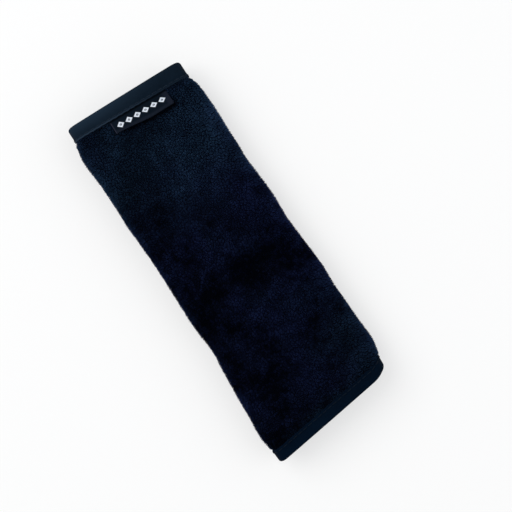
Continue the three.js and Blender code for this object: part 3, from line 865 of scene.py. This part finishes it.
tape_line = wrap_line(TAPE_SPACING)
tuck_turn = np.linspace(0, TUCK_TURN, 8)[1:]
tuck = TAPE_TUCK * np.sin(tuck_turn)
inner_tuck, outer_tuck = flap_line(INNER_FLAP, -tuck[::-1]), flap_line(OUTER_FLAP, -tuck)
closed_line = np.concatenate([inner_tuck, tape_line, outer_tuck], axis=1)
openness = np.concatenate([np.cos(tuck_turn)[::-1], np.ones(tape_line.shape[1]), np.cos(tuck_turn)])
tape_run = TAPE_SPACING * (np.arange(closed_line.shape[1]) - len(tuck))


def knit_group():
    """A plain knit seen close up, from places in millimetres: rounded columns of nested V loops."""
    inputs = {"Along": "Float", "Across": "Float", "Pitch": "Float"}
    group, entry, leave = node_group("Plain knit", inputs, {"Height": "Float"})
    along, across, pitch = entry.outputs["Along"], entry.outputs["Across"], entry.outputs["Pitch"]
    column = sums(group, "FRACT", sums(group, "DIVIDE", along, pitch))
    away = sums(group, "ABSOLUTE", sums(group, "MULTIPLY_ADD", column, 2.0, -1.0))
    slant = sums(group, "MULTIPLY_ADD", away, 0.6, sums(group, "DIVIDE", across, pitch))
    loop = sums(group, "ABSOLUTE", sums(group, "MULTIPLY_ADD", sums(group, "FRACT", slant), 2.0, -1.0))
    round_column = sums(group, "SUBTRACT", 1.0, sums(group, "MULTIPLY", away, away))
    relief = sums(group, "MULTIPLY", round_column, sums(group, "MULTIPLY_ADD", loop, -0.5, 1.0))
    group.links.new(relief, leave.inputs["Height"])
    return group


plain_knit = knit_group()


def add_knit(tree, shader, pitch, strength, depth):
    """Puts the knit's relief into a material, along and across the tape; pitch and depth in mm."""
    knit = tree.nodes.new("ShaderNodeGroup")
    knit.node_tree = plain_knit
    knit.inputs["Pitch"].default_value = pitch
    tree.links.new(read_tag(tree, "along"), knit.inputs["Along"])
    tree.links.new(read_tag(tree, "across"), knit.inputs["Across"])
    add_bump(tree, shader, knit.outputs["Height"], strength, depth)


def binding_section():
    """Distance y, share of the plush's height and height over it, for the tape's two sides. The
    outer one is a leg, a quarter circle, the end's wall, a quarter circle and the other leg, and
    the inner one two legs and a wall."""
    leg = np.linspace(0, 1, 20)[:-1] ** 1.4
    turn = np.linspace(0, np.pi / 2, 6)
    rise = np.linspace(0, 1, 8)[1:-1]
    leg_ones, turn_ones = np.ones_like(leg), np.ones_like(turn)
    flat_end, reach = HALF_LENGTH - BINDING_NOSE, LAYER_GAP + BINDING_TAPE
    leg_y = BINDING_EDGE + (flat_end - BINDING_EDGE) * leg
    y = [leg_y, flat_end + BINDING_NOSE * np.sin(turn), np.full_like(rise, HALF_LENGTH)]
    y += [flat_end + BINDING_NOSE * np.cos(turn), leg_y[::-1]]
    share = [0 * leg_ones, 0 * turn_ones, rise, turn_ones, leg_ones]
    nose = reach - BINDING_NOSE
    over = [-reach * leg_ones, -nose - BINDING_NOSE * np.cos(turn), nose * (2 * rise - 1)]
    over += [nose + BINDING_NOSE * np.sin(turn), reach * leg_ones]
    outer = np.stack([np.concatenate(part) for part in (y, share, over)])
    wall = SHEET_END + LAYER_GAP
    inside_leg = BINDING_EDGE + (wall - BINDING_EDGE) * leg
    t = np.linspace(0, 1, outer.shape[1] - 2 * len(leg))
    inner = np.stack([
        np.concatenate([inside_leg, np.full_like(t, wall), inside_leg[::-1]]),
        np.concatenate([0 * leg_ones, t, leg_ones]),
        np.concatenate([-LAYER_GAP * leg_ones, LAYER_GAP * (2 * t - 1), LAYER_GAP * leg_ones]),
    ])
    return outer, inner


def add_binding(name, end):
    """The section carried round the wrap, closed past both free edges. On the outer leg the edge is
    rounded and ridged, and it rises and falls with the stitches. The painted light at the pad's end
    and the painted highlight on the ridge show less towards the right."""
    outer, inner = binding_section()
    line = closed_line[:, :, None]
    y, share, over = (row[None, :] for row in outer)
    stitch = np.cos(2 * np.pi * tape_run / STITCH_PITCH)[:, None]
    from_edge = y - BINDING_EDGE
    on_front = (share == 1) & (over > 0)
    ease = 0.6 * smooth(from_edge, 0, EDGE_ROUND) + 0.4 * smooth(from_edge, 0, 2 * EDGE_ROUND) - 1
    relief = EDGE_RIDGE * bell(from_edge - RIDGE_INSET, RIDGE_REACH)
    relief = relief - PUCKER * stitch * bell(from_edge - THREAD_INSET, 0.8)
    over = over + on_front * (relief + FRONT_ROUNDING * BINDING_TAPE * ease)
    over = over - (share == 0) * BACK_ROUNDING * BINDING_TAPE * ease
    wave = EDGE_WAVE * stitch * smooth(from_edge, 1.5, 0) * on_front
    middle = layers(line, y * end)[2] / 2
    outside = place(line, (y + wave) * end, middle + openness[:, None] * ((2 * share - 1) * middle + over))
    y, share, over = (row[None, :] for row in inner)
    middle = layers(line, y * end)[2] / 2
    inside = place(line, y * end, middle + openness[:, None] * ((2 * share - 1) * middle + over))
    piece = sheet_body(name, outside, inside)
    path = np.append(0, np.cumsum(np.hypot(np.diff(outer[0]), np.diff(outer[1] * FLAP_HEIGHT + outer[2]))))
    along, across = np.broadcast_arrays(tape_run[:, None], np.concatenate([path, path[::-1]])[None, :])
    tag(piece, "along", along)
    tag(piece, "across", across)
    to_right = smooth(closed_line[0], *PAINTED_LIGHT_FADE)[:, None]
    # painted highlight along the ridge, fading towards the right
    edge = on_front * bell(from_edge - 0.3, 0.35) * (1 - 0.8 * to_right)
    # painted light, most where the tape turns over the pad's end, and less towards the right
    painted_light = (0.3 + 0.5 * smooth(from_edge, 1.5, BINDING_WIDTH)) * (1 - 0.7 * to_right)
    tag(piece, "edge", np.concatenate([edge, 0 * edge], axis=1) + 0 * along)
    tag(piece, "painted_light", np.concatenate([painted_light, 0 * painted_light], axis=1) + 0 * along)
    return piece


def tape_material(name, dark, light, painted_light, ridge_highlight):
    """Matt knitted tape: two close shades, painted lighter where it turns over the pad's end, with a
    painted highlight on the ridge along its inner edge and a fine knit."""
    material, tree, shader = principled(name, dark, 0.85, Specular_IOR_Level=0.03)
    colour = mottled(tree, shader, dark, light, 7, 1.1)
    # painted light at the pad's end, then the painted highlight on the ridge
    colour = mixed(tree, read_tag(tree, "painted_light"), colour, painted_light)
    colour = mixed(tree, read_tag(tree, "edge"), colour, ridge_highlight)
    tree.links.new(colour, shader.inputs["Base Color"])
    add_knit(tree, shader, TAPE_KNIT, 0.5, 0.12)
    return material


for name, end in ENDS.items():
    material = tape_material(f"Binding tape {name}", *BINDING_SHADES[name])
    finish_piece(add_binding(f"{name}_binding_tape", end), material, "binding", f"{name}_binding")

# Seams
# Polyester thread in running stitches: one row through each binding along its inner edge, and two
# rows through each closure strip. Each stitch stands up in its middle and dives at both ends.
THREAD = 0.35
THREAD_LIE = 0.08
# The bottom thread's shades are darker, painted in shade like its tape.
THREAD_SHADES = {
    "top": (linear(11, 21, 34), linear(29, 42, 57)),
    "bottom": (linear(2, 10, 22), linear(5, 17, 32)),
}
STITCH_SHARE = 0.84  # of the pitch that shows
STITCH_SINK = 0.2
STITCH_RINGS = 9


def stitch_row(name, path, out):
    """Stitches along a path on the cloth. Each follows the path for its share of the pitch, its
    height over the cloth an arch, and its thickness tapering at both ends."""
    run = np.append(0, np.cumsum(np.linalg.norm(np.diff(path, axis=0), axis=-1)))
    count = int(run[-1] / STITCH_PITCH)
    t = np.linspace(0, 1, STITCH_RINGS)
    spots = (np.arange(count)[:, None] + 0.5 + STITCH_SHARE * (t - 0.5)) * STITCH_PITCH
    middle, up, ahead = (
        np.stack([np.interp(spots, run, grid[:, axis]) for axis in range(3)], axis=-1)
        for grid in (path, out, np.gradient(path, run, axis=0))
    )
    side = np.cross(up, ahead)
    arch = np.sin(np.pi * t)[None, :, None]
    middle = middle + up * (STITCH_SINK * (arch**0.5 - 1))
    radius = (THREAD / 2 * (0.35 + 0.65 * arch**0.4))[..., None]
    angle = np.arange(6)[None, None, :, None] * np.pi / 3
    ring = middle[:, :, None] + radius * (np.cos(angle) * side[:, :, None] + np.sin(angle) * up[:, :, None])
    return closed_bodies(name, ring)


def surface_path(line, y, n):
    """A path on the settled pad and the directions that point out of the cloth along it."""
    path = place(line, y, n)
    return path, unit(place(line, y, n + 0.1) - path)


def thread_material(name, dark, light):
    """Thread: two close shades in patches about as long as a stitch, and a fine grain."""
    material, tree, shader = principled(name, dark, 0.75, Specular_IOR_Level=0.1)
    mottled(tree, shader, dark, light, 3, 0.25, 0.4, 0.08)
    return material


threads = {name: thread_material(f"Seam thread {name}", *THREAD_SHADES[name]) for name in ENDS}
for name, end in ENDS.items():
    y = np.full(tape_line.shape[1], (BINDING_EDGE + THREAD_INSET) * end)
    lie = layers(tape_line, y)[2] + LAYER_GAP + BINDING_TAPE + THREAD_LIE + THREAD / 2 - PUCKER / 2
    seam = stitch_row(f"{name}_binding_stitches", *surface_path(tape_line, y, lie))
    finish_piece(seam, threads[name], "thread", f"{name}_binding_thread")
seam_y = rows_between(-STRIP_HALF_LENGTH, STRIP_HALF_LENGTH, 0.5)
strips = [
    ("loop_strip", INNER_FLAP, -THREAD_LIE - THREAD / 2),
    ("hook_strip", OUTER_FLAP, FLAP_HEIGHT - SEAM_GROOVE + THREAD_LIE + THREAD / 2),
]
for strip, flap, lie in strips:
    for row, distance in zip(("edge", "inner"), SEAM_DISTANCES):
        path, out = surface_path(flap_line(flap, np.full(len(seam_y), distance)), seam_y, lie)
        seam = stitch_row(f"{strip}_{row}_stitches", path, out if lie > 0 else -out)
        finish_piece(seam, threads["bottom"], "thread", f"{strip}_{row}_thread")

# Folded label
# A short black satin tape woven with a row of plain pale diamonds and folded in half. Its cut ends
# stop at the top binding's edge, pressed thin. Its right end has lifted off the plush.
LABEL_TAPE = 0.25
LABEL_SLOT = 0.2
LABEL_LIFT = 1.3
LABEL_SPACING = 0.14
LABEL_TUCK = 0.3
LABEL_RIPPLE = 0.12
FOLD_NOSE = 0.6  # how far the fold stands out, as a share of half its thickness
SLOT_DOWN, SLOT_NOSE = 0.94, 0.03  # where the inside of the fold starts, and its own depth
DIAMONDS = 6
DIAMOND_PITCH = 4.1
DIAMOND_HALF_HEIGHT = 1.6
DIAMOND_HALF_WIDTH = 1.72
DIAMOND_ROW = 3.7  # below the binding's edge
LABEL_WEAVE = 0.36
LABEL_BLACK, LABEL_SHEEN, LABEL_PALE = linear(3, 8, 15), linear(10, 18, 28), linear(214, 221, 232)
# a painted highlight for the label's edges and fold, and painted shadow where it meets the binding
LABEL_HIGHLIGHT, LABEL_TOP_SHADOW = linear(50, 52, 68), linear(0, 1, 3)
label_line = LABEL_LEFT + rows_between(0, LABEL_WIDTH, LABEL_SPACING)
front = wrap_line(0.2)
front = front[:, (front[3] > 0.99) & (np.abs(front[0]) < FOLD_X)]
label_station = np.stack([np.interp(label_line, front[0], row) for row in front])
label_station[0] = label_line


def fold_side(reach, nose, low, radius):
    """One side of the folded tape, as shares of the drop and heights: the lower half down to the
    reach, half an oval that stands out by the nose, and the upper half back up."""
    leg, turn = reach * np.linspace(0, 1, 60)[:-1], np.linspace(0, np.pi, 7)
    down = np.concatenate([leg, reach + nose * np.sin(turn), leg[::-1]])
    rise = [np.zeros_like(leg), radius * (1 - np.cos(turn)), np.full_like(leg, 2 * radius)]
    return down, low + np.concatenate(rise)


half = LABEL_TAPE + LABEL_SLOT / 2
outside_down, outside_rise = fold_side(1, half / LABEL_DROP * FOLD_NOSE, 0, half)
inside_down, inside_rise = fold_side(SLOT_DOWN, SLOT_NOSE, LABEL_TAPE, LABEL_SLOT / 2)


def on_label(down, rise):
    """Places on the label: it leaves the binding pressed thin, follows the plush, and lifts with
    the square of the way down, most at its right end."""
    line = label_station[:, :, None]
    down, rise = down[None, :], rise[None, :]
    across = (label_station[0][:, None] - LABEL_LEFT) / LABEL_WIDTH
    y = BINDING_EDGE - LAYER_GAP - down * label_drop(label_station[0])[:, None]
    lift = LABEL_LIFT * down**2 * (0.25 + 0.75 * across**1.5) + LABEL_RIPPLE * np.sin(9 * across) * down
    tuck = bell(down, 0.16)
    rise = rise * (1 - 0.35 * tuck) - LABEL_TUCK * tuck
    plush = layers(line, np.minimum(y, BINDING_EDGE))[2]
    return place(line, y, plush + LAYER_GAP + np.maximum(lift, -0.1) + rise)


outside, inside = on_label(outside_down, outside_rise), on_label(inside_down, inside_rise)
label = sheet_body("folded_label_tape", outside, inside)
label_down = np.concatenate([outside_down, inside_down[::-1]])[None, :] * label_drop(label_line)[:, None]
label_side = label_line[:, None] - LABEL_LEFT + 0 * label_down
top_side = np.concatenate([outside_rise, 0 * inside_rise])[None, :] > half
nearest = (label_side - LABEL_WIDTH / 2) / DIAMOND_PITCH + (DIAMONDS - 1) / 2
nearest = np.clip(np.round(nearest), 0, DIAMONDS - 1)
from_middle = label_side - LABEL_WIDTH / 2 - (nearest - (DIAMONDS - 1) / 2) * DIAMOND_PITCH
diamond = np.abs(from_middle) / DIAMOND_HALF_WIDTH + np.abs(label_down - DIAMOND_ROW) / DIAMOND_HALF_HEIGHT
motif = smooth(diamond, 1.05, 0.93) * smooth(diamond, 0.34, 0.46)
motif = np.maximum(motif, smooth(diamond, 0.2, 0.1))
tag(label, "motif", motif * top_side)
# painted highlights: a thin line down the left edge, the right end, and the fold
label_highlight = bell(label_side, 0.35) + 0.22 * smooth(label_side, LABEL_WIDTH - 3, LABEL_WIDTH - 1.6)
fold_highlight = smooth(label_down - label_drop(label_line)[:, None], -1.9, -0.7)
tag(label, "label_highlight", np.maximum(label_highlight, 0.16 * fold_highlight))
# painted shadow from the top binding's edge across the label's top
tag(label, "top_shadow", smooth(label_down, 0.95, 0.5) * top_side)
tag(label, "along", label_side)
tag(label, "across", label_down)
material, tree, shader = principled("Label satin", LABEL_BLACK, 0.6, Specular_IOR_Level=0.05)
shader.inputs["Specular Tint"].default_value = (0.4, 0.65, 1, 1)
colour = mottled(tree, shader, LABEL_BLACK, LABEL_SHEEN, 4, 0.3)
# in turn: painted highlights on the edges and fold, the woven motif, and painted shadow at the top
for name, tint, share in (("label_highlight", LABEL_HIGHLIGHT, 0.85), ("motif", LABEL_PALE, 1), ("top_shadow", LABEL_TOP_SHADOW, 1)):
    colour = mixed(tree, sums(tree, "MULTIPLY", read_tag(tree, name), share), colour, tint)
tree.links.new(colour, shader.inputs["Base Color"])
add_knit(tree, shader, LABEL_WEAVE, 0.4, 0.08)
finish_piece(label, material, "label", "folded_label")

# Studio
# A pale flat floor under soft daylight from the upper left, and a long lens straight above the pad.
PHOTO_SIZE = 512
PIXEL = 0.431
PAD_LEAN = np.radians(33.4)
PAD_SPOT = 231.15, 258.75
LENS, SENSOR = 100, 36
FLOOR_REACH = 3000  # millimetres from the pad to the floor's sides
FLOOR_WHITE = 0.55  # share of the floor that shows plain white, which leaves a light shadow
FLOOR_FADE = 0.2, 0.7  # metres from the pad over which that share grows to all of it


def add_light(name, location, size, energy, colour):
    """A square area lamp that faces the pad."""
    lamp = bpy.data.lights.new(name, "AREA")
    lamp.size, lamp.energy, lamp.color = size, energy, colour
    holder = bpy.data.objects.new(name, lamp)
    holder.location = location
    holder.rotation_euler = (-Vector(location)).to_track_quat("-Z", "Y").to_euler()
    bpy.context.scene.collection.objects.link(holder)


right = np.array([np.cos(PAD_LEAN), -np.sin(PAD_LEAN)])
up = np.array([np.sin(PAD_LEAN), np.cos(PAD_LEAN)])
aim = PIXEL * MM * ((PHOTO_SIZE / 2 - PAD_SPOT[0]) * right - (PHOTO_SIZE / 2 - PAD_SPOT[1]) * up)
lens = bpy.data.cameras.new("Camera")
lens.lens, lens.sensor_width = LENS, SENSOR
lens.clip_start, lens.clip_end = 0.01, 10
camera = bpy.data.objects.new("Camera", lens)
height = PHOTO_SIZE * PIXEL * MM * LENS / SENSOR + PASSAGE_CEILING * MM
camera.location = (*aim, height)
camera.rotation_euler = (0, 0, -PAD_LEAN)
bpy.context.scene.collection.objects.link(camera)
bpy.context.scene.camera = camera

floor_points = FLOOR_REACH * np.array([[-1, -1, 0], [1, -1, 0], [1, 1, 0], [-1, 1, 0]])
floor = add_mesh("floor", floor_points, np.array([[0, 1, 2, 3]]), False)


def seen_white(tree, shader, white, output, share):
    """Mixes plain white into a shader for the rays that see it straight, in gloss or through glass."""
    seen, mix = tree.nodes.new("ShaderNodeLightPath"), tree.nodes.new("ShaderNodeMixShader")
    rays = [seen.outputs[f"Is {kind} Ray"] for kind in ("Camera", "Glossy", "Transmission")]
    any_ray = sums(tree, "MAXIMUM", sums(tree, "MAXIMUM", rays[0], rays[1]), rays[2])
    tree.links.new(sums(tree, "MULTIPLY", any_ray, share), mix.inputs["Fac"])
    tree.links.new(shader.outputs[0], mix.inputs[1])
    tree.links.new(white.outputs[0], mix.inputs[2])
    tree.links.new(mix.outputs["Shader"], output.inputs["Surface"])


material, tree, shader = principled("Pale sweep", linear(250, 250, 250), 0.9)
glow, spot = tree.nodes.new("ShaderNodeEmission"), tree.nodes.new("ShaderNodeTexCoord")
distance, fade = tree.nodes.new("ShaderNodeVectorMath"), tree.nodes.new("ShaderNodeMapRange")
distance.operation = "LENGTH"
fade.inputs["From Min"].default_value, fade.inputs["From Max"].default_value = FLOOR_FADE
fade.inputs["To Min"].default_value = FLOOR_WHITE
tree.links.new(spot.outputs["Object"], distance.inputs[0])
tree.links.new(distance.outputs["Value"], fade.inputs["Value"])
seen_white(tree, shader, glow, tree.nodes["Material Output"], fade.outputs["Result"])
floor.data.materials.append(material)

world = bpy.data.worlds.new("Daylight")
world.use_nodes = True
tree = world.node_tree
sky, white = tree.nodes["Background"], tree.nodes.new("ShaderNodeBackground")
sky.inputs["Color"].default_value, sky.inputs["Strength"].default_value = (0.97, 0.985, 1, 1), 0.5
white.inputs["Color"].default_value = (1, 1, 1, 1)
seen_white(tree, sky, white, tree.nodes["World Output"], 1)
bpy.context.scene.world = world
add_light("Window", (-0.5, 0.7, 1.1), 1.2, 11, (1, 0.995, 0.985))
add_light("Fill", (0.8, -0.4, 0.9), 1.2, 4.5, (0.97, 0.99, 1))
bpy.context.scene.view_settings.view_transform = "Standard"
